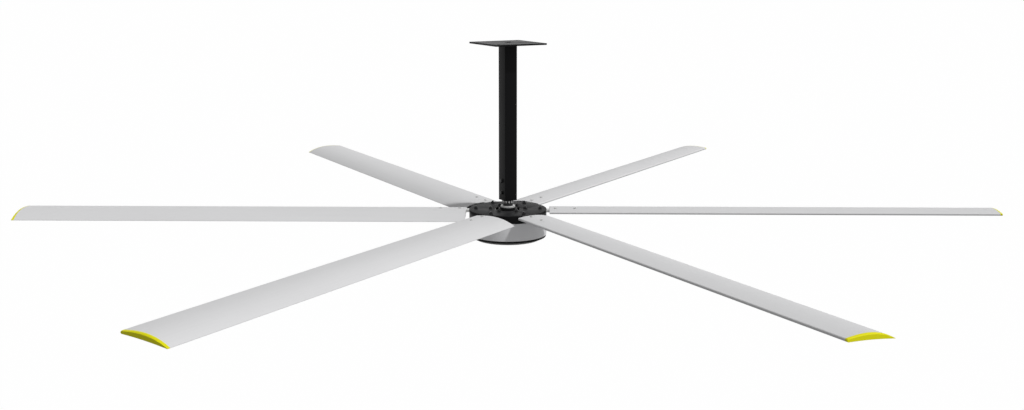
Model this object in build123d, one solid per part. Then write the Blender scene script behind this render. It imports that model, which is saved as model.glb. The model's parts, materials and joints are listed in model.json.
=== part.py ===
# High volume low speed ceiling fan with six straight hollow blades.
# Millimetres. The origin is the centre of the ceiling plate's top face and +Z is up.
# The plate's and the drop tube's sides run along X and Y, and the rotor hangs on -Z.
import os
from math import cos, radians, sin, sqrt, tan

from build123d import *

os.makedirs("parts", exist_ok=True)

# Driving dimensions of the whole fan
fan_radius = 2440.0
rotor_drop = 842.0
blade_count = 6
blade_phase_deg = 30.0

# Ceiling plate
plate_side = 280.0
plate_thickness = 8.0
plate_corner_radius = 3.0
plate_edge_chamfer = 1.0
plate_hole_spacing = 220.0
plate_hole_radius = 7.0
cable_hole_radius = 18.0

# Drop tube
tube_side = 63.5
tube_wall = 4.0
tube_corner_radius = 3.0
tube_inner_corner_radius = 2.0
tube_end_rise = 62.0

# Square plug that joins the tube and the shaft
plug_clearance = 0.1
plug_length = 136.0
plug_lift = 2.0
plug_chamfer = 1.0

# Cross bolts of the tube
cross_bolt_radius = 6.0
cross_bolt_hole_radius = 6.4
cross_bolt_low = 38.0
cross_bolt_step = 60.0
cross_bolt_head_flats = 18.0
cross_bolt_head_height = 7.5
cross_bolt_tail = 1.5
cross_nut_height = 7.0
cross_washer_radius = 11.0
cross_washer_thickness = 2.0

# Fixed hollow shaft
shaft_radius = 20.0
shaft_shoulder_radius = 24.0
shaft_bore_radius = 9.0
shaft_foot_radius = 15.0
shaft_head_gap = 4.0
shaft_chamfer = 1.5

# Struts that carry the blades
strut_width = 38.0
strut_height = 12.0
strut_mid_rise = 7.0
strut_inner_radius = 60.0
strut_outer_radius = 362.0
strut_edge_radius = 1.5

# Strut bolts
strut_bolt_radius = 5.0
strut_bolt_hole_radius = 5.4
strut_bolt_inner = 87.0
strut_bolt_outer = 161.0
strut_bolt_flats = 17.0
strut_bolt_head_height = 6.4
strut_bolt_tail = 3.0
strut_nut_height = 8.0
strut_washer_radius = 10.5
strut_washer_thickness = 2.0

# Hub cover plate
cover_plate_radius = 193.0
cover_plate_thickness = 3.0
cover_plate_boss_gap = 12.0

# Cast hub
hub_radius = 190.0
hub_height = 38.0
hub_floor_thickness = 10.0
hub_rim_wall = 8.0
hub_boss_radius = 52.0
hub_boss_drop = 8.0
hub_boss_shoulder = 34.0
hub_guide_wall = 6.0
hub_slot_clearance = 0.1
screw_clearance = 0.3
hub_rib_thickness = 6.0

# Neck between the hub and the motor housing
neck_radius = 115.0
neck_wall = 17.0
neck_height = 27.0
neck_screw_radius = 4.0
neck_screw_hole_radius = 4.4
neck_screw_head_radius = 6.5
neck_screw_head_height = 8.0
neck_screw_boss_radius = 11.0
neck_screw_seat_drop = 10.0
neck_socket_flats = 6.0
neck_socket_depth = 4.0

# Motor housing, a drum with a recessed top plate
housing_radius = 193.0
housing_height = 72.5
housing_lip_gap = 1.0
housing_rim_wall = 8.0
housing_flange_thickness = 9.0
housing_flange_bore = 88.0
housing_edge_radius = 3.0

# Bottom cover
lid_edge_height = 11.5
lid_depth = 24.5
lid_bend_inset = 1.5
lid_face_inset = 35.0
lid_wall = 5.0
lid_boss_wall = 7.0
lid_edge_radius = 3.0
lid_screw_count = 12
lid_screw_radius = 1.5
lid_screw_head_radius = 2.75
lid_screw_head_height = 2.8
lid_screw_seat = 4.5
lid_screw_length = 12.0
lid_socket_flats = 2.5
lid_socket_depth = 1.4

# Roller bearings
upper_bearing_outer = 40.0
upper_bearing_width = 18.0
lower_bearing_outer = 31.0
lower_bearing_width = 16.0
race_thickness_share = 0.26
lip_height_share = 0.45
lip_width_share = 0.16
roller_count = 12
roller_clearance = 0.03
roller_end_clearance = 0.15
cage_thickness_share = 0.34
cage_ring_share = 0.10
cage_pocket_clearance = 0.03

# Bearing cap, shaft seal and the parts clamped on the shaft
cap_flange_thickness = 4.0
cap_neck_radius = 39.0
cap_neck_bore = 30.0
cap_lip_thickness = 2.0
cap_lip_gap = 0.6
cap_screw_count = 6
cap_screw_radius = 2.5
cap_screw_head_radius = 4.2
cap_screw_head_height = 3.0
cap_screw_length = 11.0
cap_socket_flats = 3.0
cap_socket_depth = 1.6
collar_radius = 36.0
collar_rise = 28.0
collar_height = 10.0
collar_running_gap = 0.3
collar_edge_radius = 1.5
seal_height = 5.0
seal_running_gap = 0.05
spacer_radius = 25.0
spacer_height = 10.0
lock_nut_radius = 29.0
lock_nut_height = 12.0
lock_nut_slots = 12
lock_nut_slot_width = 7.0
lock_nut_slot_depth = 5.0
lock_nut_chamfer = 1.0
foot_nut_radius = 22.0
foot_nut_height = 8.0
foot_nut_slots = 4
foot_nut_slot_width = 5.0
foot_nut_slot_depth = 2.5

# Stator
stator_slots = 36
core_bore_share = 0.653
core_height = 32.0
core_back_iron_share = 0.09
tooth_width_share = 0.076
tooth_tip_height = 2.5
slot_mouth = 4.0
coil_side_share = 0.0232
coil_clearance = 0.2
coil_end_rise = 6.0
coil_tip_gap = 1.0
carrier_hub_radius = 36.0
carrier_hub_height = 27.0
carrier_web_thickness = 10.0
carrier_web_rise = 5.5
carrier_rim_wall = 8.0
carrier_rim_height = 26.0
carrier_window_count = 6
carrier_window_radius = 13.0
carrier_key_width = 12.0
carrier_key_height = 8.0
carrier_key_depth = 4.0
circlip_radius = 26.0
circlip_thickness = 2.0
circlip_gap_deg = 40.0

# Rotor iron and magnets
air_gap = 0.8
magnet_count = 30
magnet_thickness = 4.0
magnet_arc_share = 0.84
yoke_thickness = 10.0
yoke_height = 36.0
yoke_seat_wall = 6.0
yoke_reach_share = 0.58
core_rise = 18.5

# Blade, a hollow section of constant chord
blade_root_radius = 208.0
chord = 215.2
nose_to_axis = 51.1
blade_pitch_deg = 6.39
nose_thickness = 12.9
crown_height = 18.5
crown_shift_share = -0.203
belly_height = 3.0
skin = 2.2
belly_skin = 1.6
web_thickness = 2.4
channel_clearance = 0.2
crown_point_shares = (0.0, 0.1, 0.25, 0.45, 0.65, 0.85, 1.0)
belly_point_shares = (0.0, 0.3, 0.65, 1.0)
front_hollow_start_share = 0.004
rear_web_share = 0.62
rear_hollow_end_share = 0.93
tail_thickness = 1.8

# Blade bolts
blade_bolt_radius = 4.0
blade_bolt_hole_radius = 4.3
blade_bolt_inner = 239.0
blade_bolt_outer = 336.0
blade_bolt_flats = 13.0
blade_bolt_head_height = 5.3
blade_bolt_tail = 2.0
blade_nut_height = 6.5
blade_seat_radius = 9.0

# Blade end cap
tip_cap_thickness = 12.0
tip_spigot_depth = 22.0
tip_spigot_clearance = 0.3

# One overrun serves every cut
overrun = 5.0

# Circles and bores that follow the pieces they pass
neck_screw_circle = neck_radius - neck_wall / 2
lid_screw_circle = housing_radius - housing_rim_wall / 2
cap_screw_circle = (hub_boss_radius + upper_bearing_outer) / 2
cover_plate_bore = hub_boss_radius + cover_plate_boss_gap
cap_lip_bore = shaft_shoulder_radius + cap_lip_gap
lid_face_radius = housing_radius - lid_face_inset
yoke_outer = neck_radius + yoke_reach_share * (housing_radius - neck_radius)
core_radius = yoke_outer - yoke_thickness - magnet_thickness - air_gap
core_bore = core_radius * core_bore_share
core_back_iron = core_radius * core_back_iron_share
tooth_width = core_radius * tooth_width_share
coil_side = core_radius * coil_side_share

# Levels worked out from the sizes above
rotor_z = -rotor_drop
strut_top = rotor_z + strut_mid_rise + strut_height / 2
strut_floor = strut_top - strut_height
cover_plate_top = strut_top + cover_plate_thickness
hub_bottom = cover_plate_top - hub_height
hub_floor_under = strut_floor - hub_floor_thickness
boss_top = strut_top - hub_boss_drop
upper_bearing_low = boss_top - upper_bearing_width
housing_top = hub_floor_under - neck_height
housing_lip_top = hub_bottom - housing_lip_gap
housing_bottom = housing_top - housing_height
lid_bottom = housing_bottom - lid_depth
collar_low = rotor_z + collar_rise
collar_top = collar_low + collar_height
cap_top = collar_low - collar_running_gap
spacer_top = collar_top + spacer_height
tube_bottom = rotor_z + tube_end_rise
plug_low = tube_bottom + plug_lift
plug_top = plug_low + plug_length
foot_cavity_depth = foot_nut_height + lid_wall
lower_bearing_low = lid_bottom + lid_wall + foot_cavity_depth
lower_bearing_top = lower_bearing_low + lower_bearing_width
blade_angles = [blade_phase_deg + 360 / blade_count * k for k in range(blade_count)]
gap_angles = [angle + 180 / blade_count for angle in blade_angles]


def disc(radius, low, high):
    """A cylinder on the fan's axis between two heights."""
    return Pos(0, 0, (low + high) / 2) * Cylinder(radius, high - low)


def ring(inner, outer, low, high):
    """A tube on the fan's axis between two heights."""
    return disc(outer, low, high) - disc(inner, low - overrun, high + overrun)


def turned(points):
    """A solid turned about the fan's axis from (radius, height) points."""
    return revolve(Plane.XZ * make_face(Polyline(*points, close=True)), Axis.Z)


def around(shape, angles):
    """Copies of a shape turned about the fan's axis."""
    return [Rot(0, 0, angle) * shape for angle in angles]


def spaced(count, start_deg=0.0):
    """Equal angles round a circle."""
    return [start_deg + 360 / count * k for k in range(count)]


def cut_all(body, tools):
    """The body with every tool taken away."""
    for tool in tools:
        body = body - tool
    return body


def join_all(shapes):
    """One solid from pieces that touch."""
    body = shapes[0]
    for shape in shapes[1:]:
        body = body + shape
    return body


def hexagon(flats, height):
    """A hexagonal prism that stands on the XY plane."""
    return extrude(RegularPolygon(flats / sqrt(3), 6), height)


def post(radius, low, high, x=0.0, y=0.0):
    """An upright cylinder at a place between two heights."""
    return Pos(x, y, (low + high) / 2) * Cylinder(radius, high - low)


def socket_screw(radius, head_radius, head_height, length, socket_flats, socket_depth):
    """A cap screw that points down, with its head's seat on the XY plane."""
    head = post(head_radius, 0, head_height) - Pos(0, 0, head_height - socket_depth) * hexagon(
        socket_flats, socket_depth + overrun
    )
    return head + post(radius, -length, 0)


def slotted_nut(bore, radius, low, height, slots, slot_width, slot_depth, chamfer_size):
    """A round nut with driving slots in its rim."""
    nut = disc(radius, low, low + height)
    nut = chamfer(nut.edges().filter_by(GeomType.CIRCLE), chamfer_size)
    nut = nut - disc(bore, low - overrun, low + height + overrun)
    slot = Pos(radius, 0, low + height / 2) * Box(2 * slot_depth, slot_width, height + 2 * overrun)
    return cut_all(nut, around(slot, spaced(slots)))


def group(shapes):
    """Separate solids kept in one node."""
    return Compound(children=[solid for shape in shapes for solid in shape.solids()])


# Ceiling plate and drop tube
def make_ceiling_plate():
    plate = extrude(RectangleRounded(plate_side, plate_side, plate_corner_radius), -plate_thickness)
    plate = chamfer(plate.faces().sort_by(Axis.Z)[0].edges(), plate_edge_chamfer)
    half = plate_hole_spacing / 2
    corners = [(x, y) for x in (-half, half) for y in (-half, half)]
    holes = [post(plate_hole_radius, -plate_thickness - overrun, overrun, x, y) for x, y in corners]
    return cut_all(plate, holes + [disc(cable_hole_radius, -plate_thickness - overrun, overrun)])


def cross_heights():
    low = tube_bottom + cross_bolt_low
    return [low, low + cross_bolt_step]


def cross_hole(radius, height):
    return Pos(0, 0, height) * Rot(0, 90, 0) * Cylinder(radius, tube_side + 2 * overrun)


def make_drop_tube():
    length = -plate_thickness - tube_bottom
    outer = RectangleRounded(tube_side, tube_side, tube_corner_radius)
    inner_side = tube_side - 2 * tube_wall
    inner = RectangleRounded(inner_side, inner_side, tube_inner_corner_radius)
    tube = Pos(0, 0, tube_bottom) * extrude(outer - inner, length)
    return cut_all(tube, [cross_hole(cross_bolt_hole_radius, z) for z in cross_heights()])


def make_tube_plug():
    side = tube_side - 2 * tube_wall - 2 * plug_clearance
    section = RectangleRounded(side, side, tube_inner_corner_radius)
    plug = Pos(0, 0, plug_low) * extrude(section, plug_length)
    plug = chamfer(plug.faces().sort_by(Axis.Z)[-1].edges(), plug_chamfer)
    plug = plug - disc(shaft_radius, plug_low - overrun, plug_top + overrun)
    return cut_all(plug, [cross_hole(cross_bolt_hole_radius, z) for z in cross_heights()])


def make_cross_bolts():
    bolts, nuts, washers = [], [], []
    face = tube_side / 2
    seat = face + cross_washer_thickness
    for z in cross_heights():
        place = Pos(0, 0, z) * Rot(0, -90, 0)
        length = 2 * seat + cross_nut_height + cross_bolt_tail
        shank = post(cross_bolt_radius, seat - length, seat)
        head = Pos(0, 0, seat) * hexagon(cross_bolt_head_flats, cross_bolt_head_height)
        bolts.append(place * (shank + head))
        nut = Pos(0, 0, -seat - cross_nut_height) * hexagon(cross_bolt_head_flats, cross_nut_height)
        nuts.append(place * (nut - post(cross_bolt_radius, -seat - cross_nut_height - overrun, overrun)))
        washer = ring(cross_bolt_hole_radius, cross_washer_radius, face, seat)
        washers.append(place * washer)
        washers.append(place * mirror(washer, about=Plane.XY))
    return group(bolts), group(nuts), group(washers)


# Fixed shaft and what is clamped on it
shaft_top = cross_heights()[1] + cross_bolt_hole_radius + shaft_radius + shaft_head_gap
core_mid = housing_bottom + core_rise
carrier_low = core_mid + carrier_web_rise - carrier_web_thickness / 2
carrier_top = carrier_low + carrier_hub_height
foot_end = lower_bearing_low - foot_nut_height - shaft_chamfer


def make_motor_shaft():
    points = [
        (shaft_bore_radius, foot_end),
        (shaft_foot_radius - shaft_chamfer, foot_end),
        (shaft_foot_radius, foot_end + shaft_chamfer),
        (shaft_foot_radius, lower_bearing_top),
        (shaft_radius, lower_bearing_top),
        (shaft_radius, carrier_top),
        (shaft_shoulder_radius, carrier_top),
        (shaft_shoulder_radius, upper_bearing_low),
        (shaft_radius, upper_bearing_low),
        (shaft_radius, shaft_top - shaft_chamfer),
        (shaft_radius - shaft_chamfer, shaft_top),
        (shaft_bore_radius, shaft_top),
    ]
    shaft = turned(points)
    shaft = cut_all(shaft, [cross_hole(cross_bolt_hole_radius, z) for z in cross_heights()])
    return shaft - make_key()


def make_key():
    radial = shaft_radius - carrier_key_depth + carrier_key_height / 2
    block = Box(carrier_key_height, carrier_key_width, carrier_web_thickness)
    return Pos(radial, 0, core_mid + carrier_web_rise) * block


def make_shaft_collar():
    points = [
        (shaft_radius, boss_top),
        (shaft_shoulder_radius, boss_top),
        (shaft_shoulder_radius, collar_low),
        (collar_radius, collar_low),
        (collar_radius, collar_top),
        (shaft_radius, collar_top),
    ]
    collar = turned(points)
    circles = collar.edges().filter_by(GeomType.CIRCLE)
    rim = [edge for edge in circles if abs(edge.radius - collar_radius) < collar_edge_radius]
    return fillet(rim, collar_edge_radius)


def make_lock_nut():
    return slotted_nut(
        shaft_radius, lock_nut_radius, spacer_top, lock_nut_height,
        lock_nut_slots, lock_nut_slot_width, lock_nut_slot_depth, lock_nut_chamfer,
    )


def make_foot_nut():
    return slotted_nut(
        shaft_foot_radius, foot_nut_radius, lower_bearing_low - foot_nut_height, foot_nut_height,
        foot_nut_slots, foot_nut_slot_width, foot_nut_slot_depth, lock_nut_chamfer,
    )


# Roller bearings: inner ring, outer ring, rollers and cage
def make_bearing(bore, outer, low, width):
    section = outer - bore
    race = section * race_thickness_share
    lip = race * lip_height_share
    lip_width = width * lip_width_share
    high = low + width
    inner_race = bore + race
    outer_race = outer - race
    mid = (inner_race + outer_race) / 2
    roller_radius = (outer_race - inner_race) / 2 - roller_clearance
    roller_low = low + lip_width + roller_end_clearance
    roller_high = high - lip_width - roller_end_clearance
    groove_low = low + lip_width
    groove_high = high - lip_width
    inner_ring = turned([
        (bore, low), (inner_race + lip, low), (inner_race + lip, groove_low), (inner_race, groove_low),
        (inner_race, groove_high), (inner_race + lip, groove_high), (inner_race + lip, high), (bore, high),
    ])
    outer_ring = turned([
        (outer, low), (outer_race - lip, low), (outer_race - lip, groove_low), (outer_race, groove_low),
        (outer_race, groove_high), (outer_race - lip, groove_high), (outer_race - lip, high), (outer, high),
    ])
    roller = post(roller_radius, roller_low, roller_high, mid)
    rollers = around(roller, spaced(roller_count))
    half = (outer_race - inner_race) / 2 * cage_thickness_share
    cage_ring = width * cage_ring_share
    cage_low = low + lip_width - cage_ring
    cage_high = high - lip_width + cage_ring
    cage = ring(mid - half, mid + half, cage_low, cage_high)
    pocket = post(roller_radius + cage_pocket_clearance, groove_low, groove_high, mid)
    cage = cut_all(cage, around(pocket, spaced(roller_count)))
    return inner_ring, outer_ring, group(rollers), cage


# Cast hub with a slot for each strut
def bolt_radii():
    return (strut_bolt_inner, strut_bolt_outer)


def make_hub_body():
    rim_inner = hub_radius - hub_rim_wall
    floor = ring(upper_bearing_outer, hub_radius, hub_floor_under, strut_floor)
    rim = ring(rim_inner, hub_radius, hub_bottom, strut_top)
    boss = ring(upper_bearing_outer, hub_boss_radius, upper_bearing_low, boss_top)
    shoulder = ring(hub_boss_shoulder, hub_boss_radius, hub_bottom, upper_bearing_low)
    guide_out = strut_width / 2 + hub_slot_clearance + hub_guide_wall / 2
    guide_length = rim_inner - strut_inner_radius + hub_rim_wall / 2
    guide_mid = strut_inner_radius + guide_length / 2
    guides = []
    for side in (-1, 1):
        bar = Pos(guide_mid, side * guide_out, (strut_floor + strut_top) / 2) * Box(
            guide_length, hub_guide_wall, strut_height
        )
        guides += around(bar, blade_angles)
    screw_boss = post(neck_screw_boss_radius, strut_floor, strut_top, neck_screw_circle)
    bosses = around(screw_boss, gap_angles)
    rib_length = rim_inner - neck_radius + hub_rim_wall / 2
    rib = Pos(neck_radius + rib_length / 2, 0, (hub_bottom + hub_floor_under) / 2) * Box(
        rib_length, hub_rib_thickness, hub_floor_under - hub_bottom
    )
    body = join_all([floor, rim, boss, shoulder] + guides + bosses + around(rib, gap_angles))
    slot_width = strut_width + 2 * hub_slot_clearance
    slot = Pos(hub_radius, 0, strut_floor + (strut_height + overrun) / 2) * Box(
        4 * hub_rim_wall, slot_width, strut_height + overrun
    )
    tools = around(slot, blade_angles)
    for radius in bolt_radii():
        hole = post(strut_bolt_hole_radius, hub_floor_under - overrun, strut_floor + overrun, radius)
        tools += around(hole, blade_angles)
    seat = strut_top - neck_screw_seat_drop
    well = post(neck_screw_head_radius + screw_clearance, seat, strut_top + overrun, neck_screw_circle)
    through = post(neck_screw_hole_radius, hub_floor_under - overrun, strut_top + overrun, neck_screw_circle)
    tools += around(well, gap_angles) + around(through, gap_angles)
    thread_end = boss_top - cap_screw_length + cap_flange_thickness
    thread = post(cap_screw_radius, thread_end, boss_top + overrun, cap_screw_circle)
    tools += around(thread, spaced(cap_screw_count))
    return cut_all(body, tools)


def make_cover_plate():
    plate = ring(cover_plate_bore, cover_plate_radius, strut_top, cover_plate_top)
    tools = []
    for radius in bolt_radii():
        hole = post(strut_bolt_hole_radius, strut_top - overrun, cover_plate_top + overrun, radius)
        tools += around(hole, blade_angles)
    return cut_all(plate, tools)


def make_bearing_cap():
    flange_top = boss_top + cap_flange_thickness
    lip_low = cap_top - cap_lip_thickness
    points = [
        (cap_neck_bore, boss_top),
        (hub_boss_radius, boss_top),
        (hub_boss_radius, flange_top),
        (cap_neck_radius, flange_top),
        (cap_neck_radius, cap_top),
        (cap_lip_bore, cap_top),
        (cap_lip_bore, lip_low),
        (cap_neck_bore, lip_low),
    ]
    hole_radius = cap_screw_radius + screw_clearance
    hole = post(hole_radius, boss_top - overrun, flange_top + overrun, cap_screw_circle)
    return cut_all(turned(points), around(hole, spaced(cap_screw_count)))


def make_cap_screws():
    screw = socket_screw(
        cap_screw_radius, cap_screw_head_radius, cap_screw_head_height, cap_screw_length,
        cap_socket_flats, cap_socket_depth,
    )
    seated = Pos(cap_screw_circle, 0, boss_top + cap_flange_thickness) * screw
    return group(around(seated, spaced(cap_screw_count)))


def make_shaft_seal():
    high = cap_top - cap_lip_thickness
    return ring(shaft_shoulder_radius + seal_running_gap, cap_neck_bore, high - seal_height, high)


# Struts with their bolts
def make_strut():
    length = strut_outer_radius - strut_inner_radius
    bar = Pos((strut_outer_radius + strut_inner_radius) / 2, 0, (strut_floor + strut_top) / 2) * Box(
        length, strut_width, strut_height
    )
    bar = fillet(bar.edges().filter_by(Axis.Z), strut_edge_radius)
    holes = [(strut_bolt_radius, radius) for radius in bolt_radii()]
    holes += [(blade_bolt_radius, radius) for radius in blade_bolt_radii()]
    tools = [post(hole, strut_floor - overrun, strut_top + overrun, radius) for hole, radius in holes]
    return cut_all(bar, tools)


def make_strut_bolts():
    bolts, nuts, washers = [], [], []
    seat = cover_plate_top + strut_washer_thickness
    end = hub_floor_under - strut_nut_height - strut_bolt_tail
    for radius in bolt_radii():
        head = Pos(radius, 0, seat) * hexagon(strut_bolt_flats, strut_bolt_head_height)
        bolts += around(head + post(strut_bolt_radius, end, seat, radius), blade_angles)
        washer = post(strut_washer_radius, cover_plate_top, seat, radius)
        washer = washer - post(strut_bolt_hole_radius, cover_plate_top - overrun, seat + overrun, radius)
        washers += around(washer, blade_angles)
        nut = Pos(radius, 0, hub_floor_under - strut_nut_height) * hexagon(strut_bolt_flats, strut_nut_height)
        nut = nut - post(strut_bolt_radius, end - overrun, seat, radius)
        nuts += around(nut, blade_angles)
    return group(bolts), group(nuts), group(washers)


# Motor housing, neck and bottom cover
def make_neck():
    neck = ring(neck_radius - neck_wall, neck_radius, housing_top, hub_floor_under)
    hole = post(neck_screw_hole_radius, housing_top - overrun, hub_floor_under + overrun, neck_screw_circle)
    return cut_all(neck, around(hole, gap_angles))


def make_housing():
    rim_inner = housing_radius - housing_rim_wall
    seat_outer = yoke_outer + yoke_seat_wall
    yoke_low = core_mid - yoke_height / 2
    flange_under = housing_top - housing_flange_thickness
    points = [
        (housing_flange_bore, housing_top),
        (rim_inner, housing_top),
        (rim_inner, housing_lip_top),
        (housing_radius, housing_lip_top),
        (housing_radius, housing_bottom),
        (rim_inner, housing_bottom),
        (rim_inner, flange_under),
        (seat_outer, flange_under),
        (seat_outer, yoke_low),
        (yoke_outer, yoke_low),
        (yoke_outer, flange_under),
        (housing_flange_bore, flange_under),
    ]
    housing = turned(points)
    circles = housing.edges().filter_by(GeomType.CIRCLE)
    lip = [edge for edge in circles if abs(edge.center().Z - housing_lip_top) < housing_edge_radius]
    lip = [edge for edge in lip if edge.radius > housing_radius - overrun]
    housing = fillet(lip, housing_edge_radius)
    thread = post(neck_screw_radius, flange_under - overrun, housing_top + overrun, neck_screw_circle)
    tap_top = housing_bottom + lid_screw_length
    tap = post(lid_screw_radius, housing_bottom - overrun, tap_top, lid_screw_circle)
    return cut_all(housing, around(thread, gap_angles) + around(tap, spaced(lid_screw_count)))


def make_neck_screws():
    seat = strut_top - neck_screw_seat_drop
    screw = socket_screw(
        neck_screw_radius, neck_screw_head_radius, neck_screw_head_height,
        seat - housing_top + housing_flange_thickness, neck_socket_flats, neck_socket_depth,
    )
    return group(around(Pos(neck_screw_circle, 0, seat) * screw, gap_angles))


def make_bottom_cover():
    inner_floor = lid_bottom + lid_wall
    edge_low = housing_bottom - lid_edge_height
    bend_slope = (edge_low - lid_bottom) / (housing_radius - lid_face_radius)
    rim_inner = housing_radius - housing_rim_wall
    inside_bend = lid_face_radius - lid_bend_inset
    rim_turn = inner_floor + bend_slope * (rim_inner - inside_bend)
    boss_outer = lower_bearing_outer + lid_boss_wall
    nut_room = lower_bearing_outer - (lower_bearing_outer - shaft_foot_radius) * race_thickness_share
    points = [
        (0, lid_bottom),
        (lid_face_radius, lid_bottom),
        (housing_radius, edge_low),
        (housing_radius, housing_bottom),
        (rim_inner, housing_bottom),
        (rim_inner, rim_turn),
        (inside_bend, inner_floor),
        (boss_outer, inner_floor),
        (boss_outer, lower_bearing_top),
        (lower_bearing_outer, lower_bearing_top),
        (lower_bearing_outer, lower_bearing_low),
        (nut_room, lower_bearing_low),
        (nut_room, inner_floor),
        (0, inner_floor),
    ]
    lid = turned(points)
    circles = lid.edges().filter_by(GeomType.CIRCLE)
    bends = [edge for edge in circles if abs(edge.center().Z - lid_bottom) < lid_edge_radius]
    lid = fillet(bends, lid_edge_radius)
    seat = housing_bottom - lid_screw_seat
    hole_radius = lid_screw_radius + screw_clearance
    well_radius = lid_screw_head_radius + screw_clearance
    through = post(hole_radius, seat - overrun, housing_bottom + overrun, lid_screw_circle)
    well = post(well_radius, lid_bottom - overrun, seat, lid_screw_circle)
    return cut_all(lid, around(through + well, spaced(lid_screw_count)))


def make_lid_screws():
    screw = socket_screw(
        lid_screw_radius, lid_screw_head_radius, lid_screw_head_height, lid_screw_length,
        lid_socket_flats, lid_socket_depth,
    )
    seat = housing_bottom - lid_screw_seat
    return group(around(Pos(lid_screw_circle, 0, seat) * Rot(180, 0, 0) * screw, spaced(lid_screw_count)))


# Motor inside: carrier, core, coils, magnets
def make_carrier():
    rim_low = core_mid - carrier_rim_height / 2
    web_low = carrier_low
    web_high = web_low + carrier_web_thickness
    hub = ring(shaft_radius, carrier_hub_radius, carrier_low, carrier_top)
    web = ring(shaft_radius, core_bore, web_low, web_high)
    rim = ring(core_bore - carrier_rim_wall, core_bore, rim_low, rim_low + carrier_rim_height)
    window = post(
        carrier_window_radius, web_low - overrun, web_high + overrun,
        (carrier_hub_radius + core_bore - carrier_rim_wall) / 2,
    )
    window_angles = spaced(carrier_window_count, 180 / carrier_window_count)
    body = cut_all(hub + web + rim, around(window, window_angles))
    return body - make_key()


def make_circlip():
    clip = ring(shaft_radius, circlip_radius, carrier_low - circlip_thickness, carrier_low)
    reach = 2 * circlip_radius
    half = radians(circlip_gap_deg / 2)
    mouth = make_face(Polyline((0, 0), (reach, -reach * tan(half)), (reach, reach * tan(half)), close=True))
    wedge = extrude(mouth, circlip_thickness + 2 * overrun)
    return clip - Pos(0, 0, carrier_low - circlip_thickness - overrun) * wedge


def make_core():
    low = core_mid - core_height / 2
    slot_base = core_bore + core_back_iron
    slot_top = core_radius - tooth_tip_height
    pitch = 360 / stator_slots
    ring_area = Circle(core_radius) - Circle(core_bore)
    tip_half = core_radius * sin(radians(pitch / 2))
    base_half = slot_base * sin(radians(pitch / 2)) - tooth_width / 2
    top_half = slot_top * sin(radians(pitch / 2)) - tooth_width / 2
    slot = Polyline(
        (slot_base, -base_half), (slot_top, -top_half), (slot_top, -slot_mouth / 2),
        (core_radius + tip_half, -slot_mouth / 2), (core_radius + tip_half, slot_mouth / 2),
        (slot_top, slot_mouth / 2), (slot_top, top_half), (slot_base, base_half), close=True,
    )
    area = ring_area - [Rot(0, 0, a) * make_face(slot) for a in spaced(stator_slots, pitch / 2)]
    return Pos(0, 0, low) * extrude(area, core_height)


def make_coils():
    slot_base = core_bore + core_back_iron
    slot_top = core_radius - tooth_tip_height
    length = slot_top - slot_base - 2 * coil_tip_gap
    outer_width = tooth_width + 2 * coil_clearance + 2 * coil_side
    outer_height = core_height + 2 * coil_clearance + 2 * coil_end_rise
    place = Pos((slot_base + slot_top) / 2, 0, core_mid)
    block = Box(length, outer_width, outer_height)
    block = chamfer(block.edges().filter_by(Axis.X), coil_side / 2)
    hole = Box(length + 2 * overrun, tooth_width + 2 * coil_clearance, core_height + 2 * coil_clearance)
    return group(around(place * (block - hole), spaced(stator_slots)))


def make_yoke():
    inner = core_radius + air_gap + magnet_thickness
    return ring(inner, inner + yoke_thickness, core_mid - yoke_height / 2, core_mid + yoke_height / 2)


def make_magnets():
    inner = core_radius + air_gap
    outer = inner + magnet_thickness
    sweep = 360 / magnet_count * magnet_arc_share
    low = core_mid - core_height / 2
    reach = 2 * outer
    spread = reach * tan(radians(sweep / 2))
    wedge = make_face(Polyline((0, 0), (reach, -spread), (reach, spread), close=True))
    sector = (Circle(outer) - Circle(inner)) & wedge
    magnet = Pos(0, 0, low) * extrude(sector, core_height)
    return group(around(magnet, spaced(magnet_count)))


# Blade section in its own plane: u runs from the nose to the tail, v is up
def blade_bolt_radii():
    return (blade_bolt_inner, blade_bolt_outer)


def crown(share):
    bump = 4 * share * (1 - share) * (1 + crown_shift_share * (1 - 2 * share))
    return nose_thickness / 2 * (1 - share) + crown_height * bump


def belly(share):
    return -nose_thickness / 2 * (1 - share) + belly_height * 4 * share * (1 - share)


def section_plane(radius):
    pitch = radians(blade_pitch_deg)
    origin = (radius, -nose_to_axis, rotor_z + nose_to_axis * tan(pitch))
    return Plane(origin=origin, x_dir=(0, cos(pitch), -sin(pitch)), z_dir=(1, 0, 0))


def crown_line(start, end, drop):
    """The upper curve between two shares of the chord, lowered by a wall."""
    return Spline([(chord * s, crown(s) - drop) for s in points_between(crown_point_shares, start, end)])


def belly_line(start, end, lift):
    """The lower curve between two shares of the chord, raised by a wall."""
    return Spline([(chord * s, belly(s) + lift) for s in points_between(belly_point_shares, start, end)])


def points_between(shares, start, end):
    return [start + (end - start) * share for share in shares]


def closed_section(start, end, wall, tail_wall):
    """A face between the two curves, closed by straight ends."""
    top = crown_line(start, end, wall)
    low = belly_line(start, end, tail_wall)
    return make_face([top, low, Line(top @ 0, low @ 0), Line(top @ 1, low @ 1)])


def blade_outline():
    """The outer face, with a half round nose and a thin square tail."""
    half = nose_thickness / 2
    top = Spline([(chord * s, crown(s) + tail_thickness / 2 * s) for s in crown_point_shares])
    low = Spline([(chord * s, belly(s) - tail_thickness / 2 * s) for s in belly_point_shares])
    nose = ThreePointArc((0, half), (-half, 0), (0, -half))
    return make_face([top, low, nose, Line(top @ 1, low @ 1)])


def channel_shares():
    """Where the strut's channel starts and ends, as shares of the chord."""
    half = strut_width / 2 + channel_clearance + web_thickness
    lean = strut_mid_rise * sin(radians(blade_pitch_deg))
    return (nose_to_axis - half - lean) / chord, (nose_to_axis + half - lean) / chord


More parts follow.
